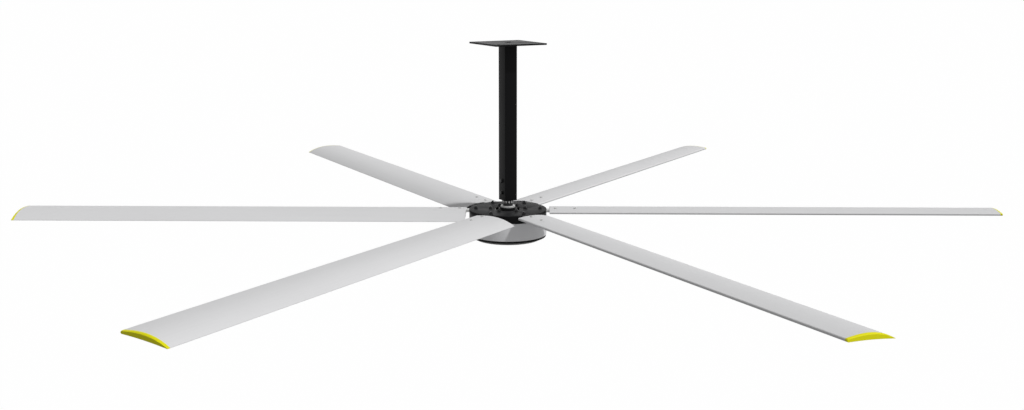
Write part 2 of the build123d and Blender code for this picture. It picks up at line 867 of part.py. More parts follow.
def blade_hollows(gap=0.0):
    """Faces of the nose, middle and tail hollows, drawn in by a gap."""
    front, rear = channel_shares()
    inset = gap / chord
    web = web_thickness / 2 / chord
    spans = [
        (front_hollow_start_share + inset, front - inset),
        (rear + inset, rear_web_share - web - inset),
        (rear_web_share + web + inset, rear_hollow_end_share - inset),
    ]
    return [closed_section(start, end, skin + gap, belly_skin + gap) for start, end in spans]


def make_blade():
    length = fan_radius - tip_cap_thickness - blade_root_radius
    place = section_plane(blade_root_radius)
    blade = extrude(place * blade_outline(), length)
    for hollow in blade_hollows():
        tool = extrude(section_plane(blade_root_radius - overrun) * hollow, length + 2 * overrun)
        blade = blade - tool
    channel_height = strut_height + 2 * channel_clearance
    channel_width = strut_width + 2 * channel_clearance
    channel = Pos(blade_root_radius + length / 2, 0, (strut_floor + strut_top) / 2) * Box(
        length + 2 * overrun, channel_width, channel_height
    )
    blade = blade - channel
    tools = []
    for radius in blade_bolt_radii():
        tools.append(post(blade_bolt_hole_radius, rotor_z - chord, rotor_z + chord, radius))
        tools.append(post(blade_seat_radius, blade_seat_top(), blade_seat_top() + overrun, radius))
        tools.append(post(blade_seat_radius, blade_seat_low() - overrun, blade_seat_low(), radius))
    return cut_all(blade, tools)


def skin_height(curve, offset):
    """Height of a curve of the section at a distance behind the blade's axis."""
    pitch = radians(blade_pitch_deg)
    share = (nose_to_axis + offset) / chord
    return rotor_z - offset * tan(pitch) + curve(share) / cos(pitch)


def blade_seat_top():
    edges = (skin_height(crown, -blade_seat_radius), skin_height(crown, blade_seat_radius))
    return min(edges)


def blade_seat_low():
    edges = (skin_height(belly, -blade_seat_radius), skin_height(belly, blade_seat_radius))
    return max(edges)


def make_blade_bolts():
    bolts, nuts = [], []
    seat = blade_seat_top()
    under = blade_seat_low()
    for radius in blade_bolt_radii():
        head = Pos(radius, 0, seat) * hexagon(blade_bolt_flats, blade_bolt_head_height)
        shank = post(blade_bolt_radius, under - blade_nut_height - blade_bolt_tail, seat, radius)
        bolts += around(head + shank, blade_angles)
        nut = Pos(radius, 0, under - blade_nut_height) * hexagon(blade_bolt_flats, blade_nut_height)
        nut = nut - post(blade_bolt_radius, under - blade_nut_height - overrun, seat, radius)
        nuts += around(nut, blade_angles)
    return group(bolts), group(nuts)


def make_tip_cap():
    start = fan_radius - tip_cap_thickness
    cap = extrude(section_plane(start) * blade_outline(), tip_cap_thickness)
    plane = section_plane(start - tip_spigot_depth)
    for hollow in blade_hollows(tip_spigot_clearance)[1:]:
        cap = cap + extrude(plane * hollow, tip_spigot_depth + tip_cap_thickness / 2)
    return cap


nodes = {
    "ceiling_plate": make_ceiling_plate(),
    "drop_tube": make_drop_tube(),
    "tube_plug": make_tube_plug(),
    "motor_shaft": make_motor_shaft(),
    "shaft_collar": make_shaft_collar(),
    "shaft_spacer": ring(shaft_radius, spacer_radius, collar_top, spacer_top),
    "lock_nut": make_lock_nut(),
    "foot_nut": make_foot_nut(),
    "stator_carrier": make_carrier(),
    "carrier_key": make_key(),
    "carrier_circlip": make_circlip(),
    "stator_core": make_core(),
    "stator_coils": make_coils(),
    "hub_body": make_hub_body(),
    "hub_cover_plate": make_cover_plate(),
    "bearing_cap": make_bearing_cap(),
    "bearing_cap_screws": make_cap_screws(),
    "shaft_seal": make_shaft_seal(),
    "motor_neck": make_neck(),
    "neck_screws": make_neck_screws(),
    "motor_housing": make_housing(),
    "rotor_yoke": make_yoke(),
    "rotor_magnets": make_magnets(),
    "bottom_cover": make_bottom_cover(),
    "bottom_cover_screws": make_lid_screws(),
}

nodes["tube_bolts"], nodes["tube_nuts"], nodes["tube_washers"] = make_cross_bolts()
nodes["strut_bolts"], nodes["strut_nuts"], nodes["strut_washers"] = make_strut_bolts()
nodes["blade_bolts"], nodes["blade_nuts"] = make_blade_bolts()

bearings = {
    "upper": (shaft_radius, upper_bearing_outer, upper_bearing_low, upper_bearing_width),
    "lower": (shaft_foot_radius, lower_bearing_outer, lower_bearing_low, lower_bearing_width),
}
for name, sizes in bearings.items():
    inner_ring, outer_ring, rollers, cage = make_bearing(*sizes)
    nodes[f"{name}_bearing_inner_ring"] = inner_ring
    nodes[f"{name}_bearing_outer_ring"] = outer_ring
    nodes[f"{name}_bearing_rollers"] = rollers
    nodes[f"{name}_bearing_cage"] = cage

strut, blade, tip_cap = make_strut(), make_blade(), make_tip_cap()
for number, angle in enumerate(blade_angles, start=1):
    turn = Rot(0, 0, angle)
    nodes[f"strut_{number}"] = turn * strut
    nodes[f"blade_{number}"] = turn * blade
    nodes[f"tip_cap_{number}"] = turn * tip_cap

for name, shape in nodes.items():
    export_step(shape, f"parts/{name}.step")
print(f"{len(nodes)} nodes written")
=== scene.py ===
# %% [markdown]
# A large slow ceiling fan, dressed for the camera
#
# The fan hangs from a roof beam on a square drop tube. Six long hollow aluminium blades are bolted to a flat
# hub that a direct drive motor turns. The solid model is already there as a frame; this lesson gives each
# piece its edges, its fasteners and its finish. All lengths are metres and +Z is up.

# %% Load the frame
import json
from math import cos, pi, radians, sin, tan

import bmesh
import bpy
from mathutils import Euler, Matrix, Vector


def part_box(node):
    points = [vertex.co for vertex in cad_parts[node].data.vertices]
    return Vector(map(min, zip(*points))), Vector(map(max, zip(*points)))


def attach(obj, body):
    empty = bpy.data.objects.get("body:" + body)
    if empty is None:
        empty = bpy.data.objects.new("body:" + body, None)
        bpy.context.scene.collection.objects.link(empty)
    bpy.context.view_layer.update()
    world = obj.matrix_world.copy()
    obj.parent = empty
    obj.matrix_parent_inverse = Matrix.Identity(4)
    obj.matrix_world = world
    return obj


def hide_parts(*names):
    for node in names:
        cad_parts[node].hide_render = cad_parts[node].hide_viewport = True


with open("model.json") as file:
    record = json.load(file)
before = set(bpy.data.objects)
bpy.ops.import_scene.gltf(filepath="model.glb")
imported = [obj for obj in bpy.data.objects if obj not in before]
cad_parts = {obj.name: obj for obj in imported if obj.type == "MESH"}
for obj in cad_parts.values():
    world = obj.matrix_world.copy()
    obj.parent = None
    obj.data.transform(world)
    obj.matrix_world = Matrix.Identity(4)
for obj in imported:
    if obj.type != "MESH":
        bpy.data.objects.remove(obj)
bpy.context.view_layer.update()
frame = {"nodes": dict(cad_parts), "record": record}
MM = 0.001

# %% [markdown]
# Levels of the real pieces
#
# The levels below are read from the frame's own boxes and not typed in, so a bolt head sits on the
# face that really carries it. A box is the lowest and the highest corner of a piece. The rotor's plane, from
# which the blades are placed, lies 16 mm under the top of the hub's cover plate.

# %% Read the levels that the new pieces need
plate_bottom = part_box("ceiling_plate")[0][2]
tube_low, tube_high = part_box("drop_tube")
neck_low, neck_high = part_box("motor_neck")
housing_low, housing_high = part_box("motor_housing")
lid_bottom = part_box("bottom_cover")[0][2]
housing_top = housing_high[2]
housing_bottom = housing_low[2]
cover_rise_mm = 16.0
rotor_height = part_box("hub_cover_plate")[1][2] - cover_rise_mm * MM
blade_angles = [30 + 60 * k for k in range(6)]
print("rotor height", round(rotor_height, 4), "lid bottom", round(lid_bottom, 4))

# %% [markdown]
# The camera
#
# The photograph looks at the fan from a little above its blades. A camera fitted to the blade edges gave the
# place, the turn and the focal length. Nothing in the picture is out of focus, so depth of field stays off.

# %% Place the camera
camera_place = (-2.9559, -5.3817, 0.4147)
camera_heading_deg = 28.97
camera_dip_deg = 11.261
lens_mm = 44.01
camera = bpy.data.objects.new("camera", bpy.data.cameras.new("camera"))
camera.location = camera_place
camera.rotation_euler = (radians(90 - camera_dip_deg), 0, radians(-camera_heading_deg))
camera.data.lens = lens_mm
camera.data.sensor_width = 36.0
camera.data.clip_end = 2000.0
bpy.context.collection.objects.link(camera)
bpy.context.scene.camera = camera
bpy.context.scene.view_settings.view_transform = "Standard"

# %% [markdown]
# One helper for nodes and one for colours
#
# Every material and every geometry tree below is a handful of nodes. One small function adds a node, sets its
# options and fills or links its inputs, which keeps a tree readable. Colours are written as the hex values
# that a paint chart or a colour picker gives, and one function turns them into the linear numbers a shader
# works with.

# %% Helpers for nodes and colours
def add(tree, kind, inputs=None, **settings):
    node = tree.nodes.new(kind)
    for key, value in settings.items():
        setattr(node, key, value)
    for key, value in (inputs or {}).items():
        socket = node.inputs[key]
        if isinstance(value, bpy.types.NodeSocket):
            tree.links.new(value, socket)
        else:
            socket.default_value = value
    return node


def linear(hex_colour):
    values = [int(hex_colour[k:k + 2], 16) / 255 for k in (1, 3, 5)]
    return [v / 12.92 if v <= 0.04045 else ((v + 0.055) / 1.055) ** 2.4 for v in values] + [1.0]


# %% [markdown]
# Floor, backdrop and sun
#
# The fan hangs at its working height over a pale floor, in a white studio. The world is plain white to the
# camera and in reflections, but it gives less light than that, so the shape is drawn by one far lamp, high on
# the right. Its direction was worked out from the sharp shadow that the nearest blade throws on the motor
# drum, and its strength from how much darker the drum is inside that shadow. The blades point six ways and
# are all lit alike, so the lamp is a sun and not a lamp close by. The floor is white to the camera and in
# reflections too, and still takes the fan's shadow.

# %% Build the studio
floor_drop = 3.6
floor_half = 400.0
floor_glow = 0.97
world_light = 0.28
sun_place = (2.59, -4.68, 5.05)
sun_strength = 2.45
sun_width_deg = 4.0
scene = bpy.context.scene
world = bpy.data.worlds.new("white_studio")
scene.world = world
world.use_nodes = True
sky = world.node_tree
seen = add(sky, "ShaderNodeLightPath")
camera_or_gloss = add(sky, "ShaderNodeMath", {
    0: seen.outputs["Is Camera Ray"], 1: seen.outputs["Is Glossy Ray"]}, operation="MAXIMUM")
any_view = add(sky, "ShaderNodeMath", {
    0: camera_or_gloss.outputs[0], 1: seen.outputs["Is Transmission Ray"]}, operation="MAXIMUM")
strength = add(sky, "ShaderNodeMapRange", {"Value": any_view.outputs[0], "To Min": world_light, "To Max": 1.0})
background = sky.nodes["Background"]
background.inputs["Color"].default_value = (1, 1, 1, 1)
sky.links.new(strength.outputs["Result"], background.inputs["Strength"])

floor_mesh = bpy.data.meshes.new("studio_floor")
floor_level = rotor_height - floor_drop
floor_corners = [(-floor_half, -floor_half), (floor_half, -floor_half), (floor_half, floor_half),
                 (-floor_half, floor_half)]
floor_mesh.from_pydata([(x, y, floor_level) for x, y in floor_corners], [], [(0, 1, 2, 3)])
floor = bpy.data.objects.new("studio_floor", floor_mesh)
bpy.context.collection.objects.link(floor)
pale = bpy.data.materials.new("pale_studio_floor")
pale.use_nodes = True
ground = pale.node_tree
ground.nodes.remove(ground.nodes["Principled BSDF"])
path = add(ground, "ShaderNodeLightPath")
viewed = add(ground, "ShaderNodeMath", {
    0: path.outputs["Is Camera Ray"], 1: path.outputs["Is Glossy Ray"]}, operation="MAXIMUM")
floor_tone = add(ground, "ShaderNodeMix", {
    "Factor": viewed.outputs[0], "A": linear("#9A9A9A"), "B": linear("#FAFAFA")}, data_type="RGBA")
matt = add(ground, "ShaderNodeBsdfDiffuse", {"Color": floor_tone.outputs["Result"]})
lit = add(ground, "ShaderNodeEmission", {"Color": (1, 1, 1, 1), "Strength": 1.0})
share = add(ground, "ShaderNodeMath", {0: viewed.outputs[0], 1: floor_glow}, operation="MULTIPLY")
blend = add(ground, "ShaderNodeMixShader", {0: share.outputs[0], 1: matt.outputs[0], 2: lit.outputs[0]})
ground.links.new(blend.outputs[0], ground.nodes["Material Output"].inputs["Surface"])
floor_mesh.materials.append(pale)

hub_middle = (0, 0, rotor_height - 60 * MM)
light = bpy.data.lights.new("key_sun", "SUN")
light.energy = sun_strength
light.angle = radians(sun_width_deg)
sun = bpy.data.objects.new("key_sun", light)
sun.location = sun_place
sun.rotation_euler = (Vector(hub_middle) - Vector(sun_place)).to_track_quat("-Z", "Y").to_euler()
bpy.context.collection.objects.link(sun)
print("studio: world, floor and sun, floor level", round(floor_level, 3))

# %% [markdown]
# Powder coat
#
# The ceiling plate, the drop tube, the hub casting, the neck and the bottom cover are coated with black
# polyester powder, baked on. That gives the eye a dark satin skin with a fine orange peel, a touch of dust on
# what faces up, and a thin worn line along sharp edges. The real peel is under a millimetre wide, too fine for
# the render, so it is drawn about 5 mm wide. The hub's cover plate has the same kind of coat in dark grey.

# %% Powder coat materials
peel_mm = 5.0
cloud_mm = 160.0
worn_edge_mm = 0.8


def fresh_material(name):
    material = bpy.data.materials.new(name)
    material.use_nodes = True
    tree = material.node_tree
    return material, tree, tree.nodes["Principled BSDF"]


def powder_coat(name, main, dusty, worn, roughness):
    material, tree, shader = fresh_material(name)
    place = add(tree, "ShaderNodeTexCoord").outputs["Object"]
    cloud = add(tree, "ShaderNodeTexNoise", {"Vector": place, "Scale": 1 / (cloud_mm * MM), "Detail": 4.0})
    peel = add(tree, "ShaderNodeTexNoise", {"Vector": place, "Scale": 1 / (peel_mm * MM), "Detail": 2.0})
    up = add(tree, "ShaderNodeSeparateXYZ", {0: add(tree, "ShaderNodeNewGeometry").outputs["Normal"]})
    level = add(tree, "ShaderNodeMapRange", {"Value": up.outputs["Z"], "From Min": 0.6, "From Max": 1.0})
    dust = add(tree, "ShaderNodeMath", {
        0: level.outputs["Result"], 1: cloud.outputs["Fac"]}, operation="MULTIPLY")
    coat = add(tree, "ShaderNodeMix", {
        "Factor": dust.outputs[0], "A": linear(main), "B": linear(dusty)}, data_type="RGBA")
    rounded = add(tree, "ShaderNodeBevel", {"Radius": worn_edge_mm * MM}, samples=4)
    normal = add(tree, "ShaderNodeNewGeometry").outputs["Normal"]
    facing = add(tree, "ShaderNodeVectorMath", {0: rounded.outputs[0], 1: normal}, operation="DOT_PRODUCT")
    edge = add(tree, "ShaderNodeMapRange", {
        "Value": facing.outputs["Value"], "From Min": 0.97, "From Max": 0.85})
    colour = add(tree, "ShaderNodeMix", {
        "Factor": edge.outputs["Result"], "A": coat.outputs["Result"], "B": linear(worn)}, data_type="RGBA")
    rough = add(tree, "ShaderNodeMapRange", {
        "Value": cloud.outputs["Fac"], "To Min": roughness - 0.06, "To Max": roughness + 0.08})
    bump = add(tree, "ShaderNodeBump", {"Height": peel.outputs["Fac"], "Strength": 0.12, "Distance": 0.4 * MM})
    tree.links.new(colour.outputs["Result"], shader.inputs["Base Color"])
    tree.links.new(rough.outputs["Result"], shader.inputs["Roughness"])
    tree.links.new(bump.outputs["Normal"], shader.inputs["Normal"])
    shader.inputs["Specular IOR Level"].default_value = 0.07
    return material


finish = {}
finish["black_powder_coat"] = powder_coat("black_polyester_powder_coat", "#0A0A0B", "#1C1C1D", "#161617", 0.42)
finish["dark_plate"] = powder_coat("dark_grey_powder_coat", "#19191A", "#222223", "#383838", 0.55)
print("powder coats:", len(finish))

# %% [markdown]
# Anodised aluminium extrusion
#
# A blade is pushed through a die as one long profile and then anodised, which leaves a pale satin metal with
# very fine straight lines along its length. The lines have to follow each blade, whichever way it points, so
# the blade's mesh carries a map called grain: its first number is the distance across the blade, the second
# the height and the third the distance along it. Die lines are a tenth of a millimetre apart; they are drawn
# 3 mm apart so that they show at all.

# %% Blade finish
die_line_mm = 3.0
die_run_mm = 900.0
blade_cloud_mm = 350.0


def anodised_extrusion():
    material, tree, shader = fresh_material("anodised_aluminium_extrusion")
    grain = add(tree, "ShaderNodeAttribute", attribute_name="grain").outputs["Vector"]
    stretched = add(tree, "ShaderNodeMapping", {"Vector": grain, "Scale": (
        1 / (die_line_mm * MM), 1 / (die_line_mm * MM), 1 / (die_run_mm * MM))})
    lines = add(tree, "ShaderNodeTexNoise", {"Vector": stretched.outputs[0], "Scale": 1.0, "Detail": 3.0})
    broad = add(tree, "ShaderNodeTexNoise", {
        "Vector": grain, "Scale": 1 / (blade_cloud_mm * MM), "Detail": 3.0})
    both = add(tree, "ShaderNodeMix", {
        "Factor": 0.45, "A": lines.outputs["Fac"], "B": broad.outputs["Fac"]}, data_type="FLOAT")
    colour = add(tree, "ShaderNodeMix", {
        "Factor": both.outputs["Result"], "A": linear("#D0D0D1"), "B": linear("#DEDEDF")}, data_type="RGBA")
    rough = add(tree, "ShaderNodeMapRange", {"Value": lines.outputs["Fac"], "To Min": 0.52, "To Max": 0.66})
    bump = add(tree, "ShaderNodeBump", {
        "Height": lines.outputs["Fac"], "Strength": 0.08, "Distance": 0.1 * MM})
    tree.links.new(colour.outputs["Result"], shader.inputs["Base Color"])
    tree.links.new(rough.outputs["Result"], shader.inputs["Roughness"])
    tree.links.new(bump.outputs["Normal"], shader.inputs["Normal"])
    shader.inputs["Metallic"].default_value = 0.05
    shader.inputs["Specular IOR Level"].default_value = 0.12
    return material


finish["blade_aluminium"] = anodised_extrusion()

# %% [markdown]
# Turned and spun metal
#
# The motor housing is spun or turned, so a cutting tool or roller has left rings round the fan's axis. The
# pattern reads the distance from the axis and the height, and nothing else, so every ring closes on itself.
# The anisotropic shader stretches the highlight across those rings as real turned metal does. The housing
# is lacquered silver over that, so it is mostly matt. The same function makes the shaft's collar and nut;
# there, what lies deeper than the nut's slots is painted dark, as grease and as painted shade in the slots.

# %% Turned metals
smear_mm = 60.0
grease_and_shade_fade_mm = 1.5


def turned_metal(name, dark, light, roughness, ring_mm, anisotropy, metallic=1.0, grease_and_shade_mm=0.001):
    material, tree, shader = fresh_material(name)
    place = add(tree, "ShaderNodeTexCoord").outputs["Object"]
    axes = add(tree, "ShaderNodeSeparateXYZ", {0: place})
    flat = add(tree, "ShaderNodeCombineXYZ", {"X": axes.outputs["X"], "Y": axes.outputs["Y"]})
    radius = add(tree, "ShaderNodeVectorMath", {0: flat.outputs[0]}, operation="LENGTH")
    ring = add(tree, "ShaderNodeCombineXYZ", {"X": radius.outputs["Value"], "Z": axes.outputs["Z"]})
    lines = add(tree, "ShaderNodeTexNoise", {
        "Vector": ring.outputs[0], "Scale": 1 / (ring_mm * MM), "Detail": 3.0})
    smear = add(tree, "ShaderNodeTexNoise", {"Vector": place, "Scale": 1 / (smear_mm * MM), "Detail": 3.0})
    both = add(tree, "ShaderNodeMix", {
        "Factor": 0.35, "A": lines.outputs["Fac"], "B": smear.outputs["Fac"]}, data_type="FLOAT")
    colour = add(tree, "ShaderNodeMix", {
        "Factor": both.outputs["Result"], "A": linear(dark), "B": linear(light)}, data_type="RGBA")
    # Painted shade: nearer the axis than this radius the colour fades to near black, standing for grease and
    # for the shade inside the nut's slots.
    grease_and_shade = add(tree, "ShaderNodeMapRange", {
        "Value": radius.outputs["Value"], "From Min": grease_and_shade_mm * MM,
        "From Max": (grease_and_shade_mm + grease_and_shade_fade_mm) * MM, "To Min": 1.0, "To Max": 0.0})
    greased_and_shaded = add(tree, "ShaderNodeMix", {
        "Factor": grease_and_shade.outputs["Result"], "A": colour.outputs["Result"], "B": linear("#161513")},
        data_type="RGBA")
    rough = add(tree, "ShaderNodeMapRange", {
        "Value": lines.outputs["Fac"], "To Min": roughness - 0.05, "To Max": roughness + 0.07})
    bump = add(tree, "ShaderNodeBump", {
        "Height": lines.outputs["Fac"], "Strength": 0.1, "Distance": 0.1 * MM})
    tree.links.new(greased_and_shaded.outputs["Result"], shader.inputs["Base Color"])
    tree.links.new(rough.outputs["Result"], shader.inputs["Roughness"])
    tree.links.new(bump.outputs["Normal"], shader.inputs["Normal"])
    tangent = add(tree, "ShaderNodeTangent", direction_type="RADIAL", axis="Z")
    tree.links.new(tangent.outputs[0], shader.inputs["Tangent"])
    shader.inputs["Metallic"].default_value = metallic
    shader.inputs["Anisotropic"].default_value = anisotropy
    return material


finish["spun_aluminium"] = turned_metal(
    "spun_aluminium_silver_lacquered", "#CECED0", "#DADADC", 0.42, 2.5, 0.2, metallic=0.15)
# The nut's slots reach 26.5 mm from the axis; inside that radius the colour is painted dark, as grease and as
# painted shade.
finish["machined_steel"] = turned_metal(
    "zinc_plated_turned_steel", "#B4B5B5", "#D0D0CE", 0.42, 1.5, 0.3, metallic=0.45, grease_and_shade_mm=26.5)
finish["bearing_steel"] = turned_metal("ground_bearing_steel", "#B4B4B8", "#CACACE", 0.2, 1.0, 0.2)
finish["core_steel"] = turned_metal("laminated_electrical_steel", "#5A5A60", "#74747A", 0.5, 1.0, 0.2)
finish["cast_aluminium"] = turned_metal("sand_cast_aluminium", "#8A8A8C", "#B0B0B0", 0.6, 3.0, 0.0)
finish["bearing_brass"] = turned_metal("machined_cage_brass", "#A8843C", "#CCA654", 0.35, 1.0, 0.2)
finish["magnet_nickel"] = turned_metal("nickel_plated_magnet", "#A6A49C", "#C4C2BA", 0.25, 4.0, 0.0)

# %% [markdown]
# Small hard finishes
#
# Black oxide is a thin conversion layer on the steel bolts, a little shiny and uneven. The blade's end caps
# are moulded in bright yellow ABS, which has a fine grain from the mould. The windings are enamelled copper
# and the seal is rubber; both are inside, and still get a real finish.

# %% Grained finishes
broad_ratio = 18


def grained(name, dark, light, roughness, grain_mm, metallic, bump_strength, coat=0.0, specular=0.5):
    material, tree, shader = fresh_material(name)
    place = add(tree, "ShaderNodeTexCoord").outputs["Object"]
    fine = add(tree, "ShaderNodeTexNoise", {"Vector": place, "Scale": 1 / (grain_mm * MM), "Detail": 3.0})
    broad = add(tree, "ShaderNodeTexNoise", {
        "Vector": place, "Scale": 1 / (broad_ratio * grain_mm * MM), "Detail": 2.0})
    both = add(tree, "ShaderNodeMix", {
        "Factor": 0.5, "A": fine.outputs["Fac"], "B": broad.outputs["Fac"]}, data_type="FLOAT")
    colour = add(tree, "ShaderNodeMix", {
        "Factor": both.outputs["Result"], "A": linear(dark), "B": linear(light)}, data_type="RGBA")
    rough = add(tree, "ShaderNodeMapRange", {
        "Value": broad.outputs["Fac"], "To Min": roughness - 0.07, "To Max": roughness + 0.07})
    bump = add(tree, "ShaderNodeBump", {
        "Height": fine.outputs["Fac"], "Strength": bump_strength, "Distance": 0.2 * MM})
    tree.links.new(colour.outputs["Result"], shader.inputs["Base Color"])
    tree.links.new(rough.outputs["Result"], shader.inputs["Roughness"])
    tree.links.new(bump.outputs["Normal"], shader.inputs["Normal"])
    shader.inputs["Metallic"].default_value = metallic
    shader.inputs["Coat Weight"].default_value = coat
    shader.inputs["Specular IOR Level"].default_value = specular
    return material


finish["black_oxide_steel"] = grained("black_oxide_on_steel", "#141415", "#242425", 0.42, 1.2, 0.4, 0.15)
finish["yellow_plastic"] = grained(
    "moulded_yellow_abs", "#DCD800", "#E6E208", 0.5, 2.5, 0.0, 0.12, specular=0.2)
finish["enamelled_copper"] = grained(
    "enamelled_copper_wire", "#7C3A16", "#A4552A", 0.35, 2.0, 0.6, 0.3, coat=0.5)
finish["seal_rubber"] = grained("nitrile_rubber", "#151515", "#202020", 0.7, 1.5, 0.0, 0.2)
print("finishes:", len(finish))

# %% [markdown]
# Every inner piece keeps its solid
#
# The frame already holds the stator, the bearings and the rest of the inside as solids. The photograph shows
# none of them, so they follow what such a motor could have. They only need their finish, which the record
# names for each of them as a material slot.

# %% Give every frame piece its finish
record_slot = {row["node"]: row["material_slot"] for row in frame["record"]["subparts"]}
for node_name, node_object in frame["nodes"].items():
    node_object.data.materials.clear()
    node_object.data.materials.append(finish[record_slot[node_name]])
body_of = {node: body for body, nodes in frame["record"]["behaviour"]["bodies"].items() for node in nodes}

# %% [markdown]
# Keeping a piece, with softened edges
#
# No real edge is perfectly sharp: the plate is cut and coated, the casting is fettled, the bars are tumbled.
# A copy of the solid is merged into a clean mesh, flat faces are joined again, and a Bevel modifier rounds
# what is sharper than 30 degrees. The modifier is applied, so the rounding is real shape, and the copy then
# stands for the solid. Two small corrections are made on the copies, both measured in the photograph: the
# hub's rim is 3 mm wider than the solid's, and the collar sits 4 mm lower, with the bearing cap under it and
# the spacer over it made to fit.

# %% Copies with softened edges
merge_mm = 0.002
flat_deg = 0.5
sharp_deg = 30
rim_depth_mm = 2.0


def settle(name, mesh, slot, body, replaced=(), smooth_deg=35.0):
    mesh.name = name
    mesh.shade_smooth()
    mesh.set_sharp_from_angle(angle=radians(smooth_deg))
    mesh.materials.clear()
    mesh.materials.append(finish[slot])
    obj = bpy.data.objects.new(name, mesh)
    bpy.context.collection.objects.link(obj)
    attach(obj, body)
    if replaced:
        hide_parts(*replaced)


def with_modifier(mesh, kind, settings):
    holder = bpy.data.objects.new("holder", mesh)
    bpy.context.collection.objects.link(holder)
    modifier = holder.modifiers.new(kind.lower(), kind)
    for key, value in settings.items():
        setattr(modifier, key, value)
    graph = bpy.context.evaluated_depsgraph_get()
    result = bpy.data.meshes.new_from_object(holder.evaluated_get(graph))
    bpy.data.objects.remove(holder)
    return result


def softened(node, width_mm, rim_mm=None, lower_mm=None):
    source = frame["nodes"][node]
    mesh = source.data.copy()
    mesh.transform(source.matrix_world)
    shape = bmesh.new()
    shape.from_mesh(mesh)
    if rim_mm:
        old, new = rim_mm
        for vert in shape.verts:
            reach = vert.co.xy.length
            if reach > (old - rim_depth_mm) * MM:
                vert.co.xy *= 1 + (new - old) * MM / reach
    if lower_mm:
        above, below, drop = lower_mm
        for vert in shape.verts:
            if rotor_height + above * MM < vert.co.z < rotor_height + below * MM:
                vert.co.z -= drop * MM
    bmesh.ops.remove_doubles(shape, verts=shape.verts, dist=merge_mm * MM)
    bmesh.ops.dissolve_limit(shape, angle_limit=radians(flat_deg), verts=shape.verts, edges=shape.edges)
    shape.to_mesh(mesh)
    shape.free()
    result = with_modifier(mesh, "BEVEL", {
        "width": width_mm * MM, "segments": 2, "limit_method": "ANGLE", "angle_limit": radians(sharp_deg),
        "use_clamp_overlap": True})
    settle(node + "_finished", result, record_slot[node], body_of[node], [node])


edge_mm = {
    "ceiling_plate": 0.6, "hub_body": 0.8, "hub_cover_plate": 0.5, "bearing_cap": 0.5, "shaft_collar": 0.4,
    "shaft_spacer": 0.3, "lock_nut": 0.4, "strut_washers": 0.3, "tube_washers": 0.3,
}
edge_mm.update({f"strut_{k}": 0.5 for k in range(1, 7)})
rims_mm = {"hub_body": (190.0, 193.0)}
lowered_mm = {
    "bearing_cap": (20.0, 30.0, 4.0), "shaft_collar": (20.0, 40.0, 4.0), "shaft_spacer": (30.0, 40.0, 4.0),
}
for node_name, width in edge_mm.items():
    softened(node_name, width, rim_mm=rims_mm.get(node_name), lower_mm=lowered_mm.get(node_name))
print("softened:", len(edge_mm))

# %% [markdown]
# Round pieces from a profile
#
# The neck, the housing and the bottom cover are all turned shapes: a profile of radius and height carried
# round the axis. A lathe function in mesh code gives them many more steps than the frame's solid has, so
# their outlines stay round in the picture. Points on the axis become one vertex, which closes the pole.
# The drop tube is made in the same way from four loops, each a square with small arcs at its corners. It is
# 3.3 mm wider than the solid's tube, and the housing and cover reach 2 mm lower, as the photograph shows.

# %% A lathe in mesh code
def closed_mesh(shape, name):
    bmesh.ops.recalc_face_normals(shape, faces=shape.faces)
    mesh = bpy.data.meshes.new(name)
    shape.to_mesh(mesh)
    shape.free()
    return mesh


def lathe(profile, steps=144):
    shape = bmesh.new()
    rings = []
    for radius, height in profile:
        if radius == 0:
            rings.append([shape.verts.new((0, 0, height))])
        else:
            turns = [2 * pi * k / steps for k in range(steps)]
            rings.append([shape.verts.new((radius * cos(turn), radius * sin(turn), height)) for turn in turns])
    count = len(rings)
    for k in range(count):
        first, second = rings[k], rings[(k + 1) % count]
        if len(first) == 1 and len(second) == 1:
            continue
        for n in range(steps):
            m = (n + 1) % steps
            corners = [first[n % len(first)], first[m % len(first)],
                       second[m % len(second)], second[n % len(second)]]
            shape.faces.new(list(dict.fromkeys(corners)))
    return closed_mesh(shape, "turned")


def rounded(points, radius, steps=4):
    """Replaces the corners of a closed profile by short arcs of a real radius."""
    result = []
    count = len(points)
    for k, point in enumerate(points):
        here = Vector(point)
        before = Vector(points[k - 1]) - here
        after = Vector(points[(k + 1) % count]) - here
        if here.x == 0:
            result.append(tuple(here))
            continue
        reach = min(radius, before.length / 2.5, after.length / 2.5)
        start, end = here + before.normalized() * reach, here + after.normalized() * reach
        for step in range(steps + 1):
            t = step / steps
            result.append(tuple(start * (1 - t) ** 2 + here * 2 * t * (1 - t) + end * t ** 2))
    return result


def square_ring(half, corner, height, shape, steps=4):
    verts = []
    for quarter in range(4):
        for step in range(steps + 1):
            turn = pi / 2 * (quarter + step / steps)
            middle = pi / 2 * quarter + pi / 4
            x = (half - corner) * (1 if cos(middle) > 0 else -1) + corner * cos(turn)
            y = (half - corner) * (1 if sin(middle) > 0 else -1) + corner * sin(turn)
            verts.append(shape.verts.new((x * MM, y * MM, height)))
    return verts


def square_tube(half, wall, corner, low, high):
    shape = bmesh.new()
    loops = [square_ring(half, corner, low, shape), square_ring(half, corner, high, shape),
             square_ring(half - wall, corner, high, shape), square_ring(half - wall, corner, low, shape)]
    for k in range(4):
        first, second = loops[k], loops[(k + 1) % 4]
        for n in range(len(first)):
            m = (n + 1) % len(first)
            shape.faces.new((first[n], first[m], second[m], second[n]))
    return closed_mesh(shape, "tube")


# %% Tube, neck, housing and cover
tube_half_mm = 33.4
tube_wall_mm = 4.5
tube_corner_mm = 1.5
tube_mesh = square_tube(tube_half_mm, tube_wall_mm, tube_corner_mm, tube_low[2], tube_high[2])
settle("drop_tube_drawn", tube_mesh, "black_powder_coat", "hanger", ["drop_tube"])

neck_radius = neck_high[0]
housing_radius = housing_high[0]
neck_bore = neck_radius - 17 * MM
flange_bore = 88 * MM
flange_top = neck_low[2]
flange_under = flange_top - 9 * MM
rim_wall = 8 * MM
lid_face_radius = housing_radius - 33 * MM
lid_edge = housing_bottom - 12 * MM
face_low = lid_bottom - 2 * MM

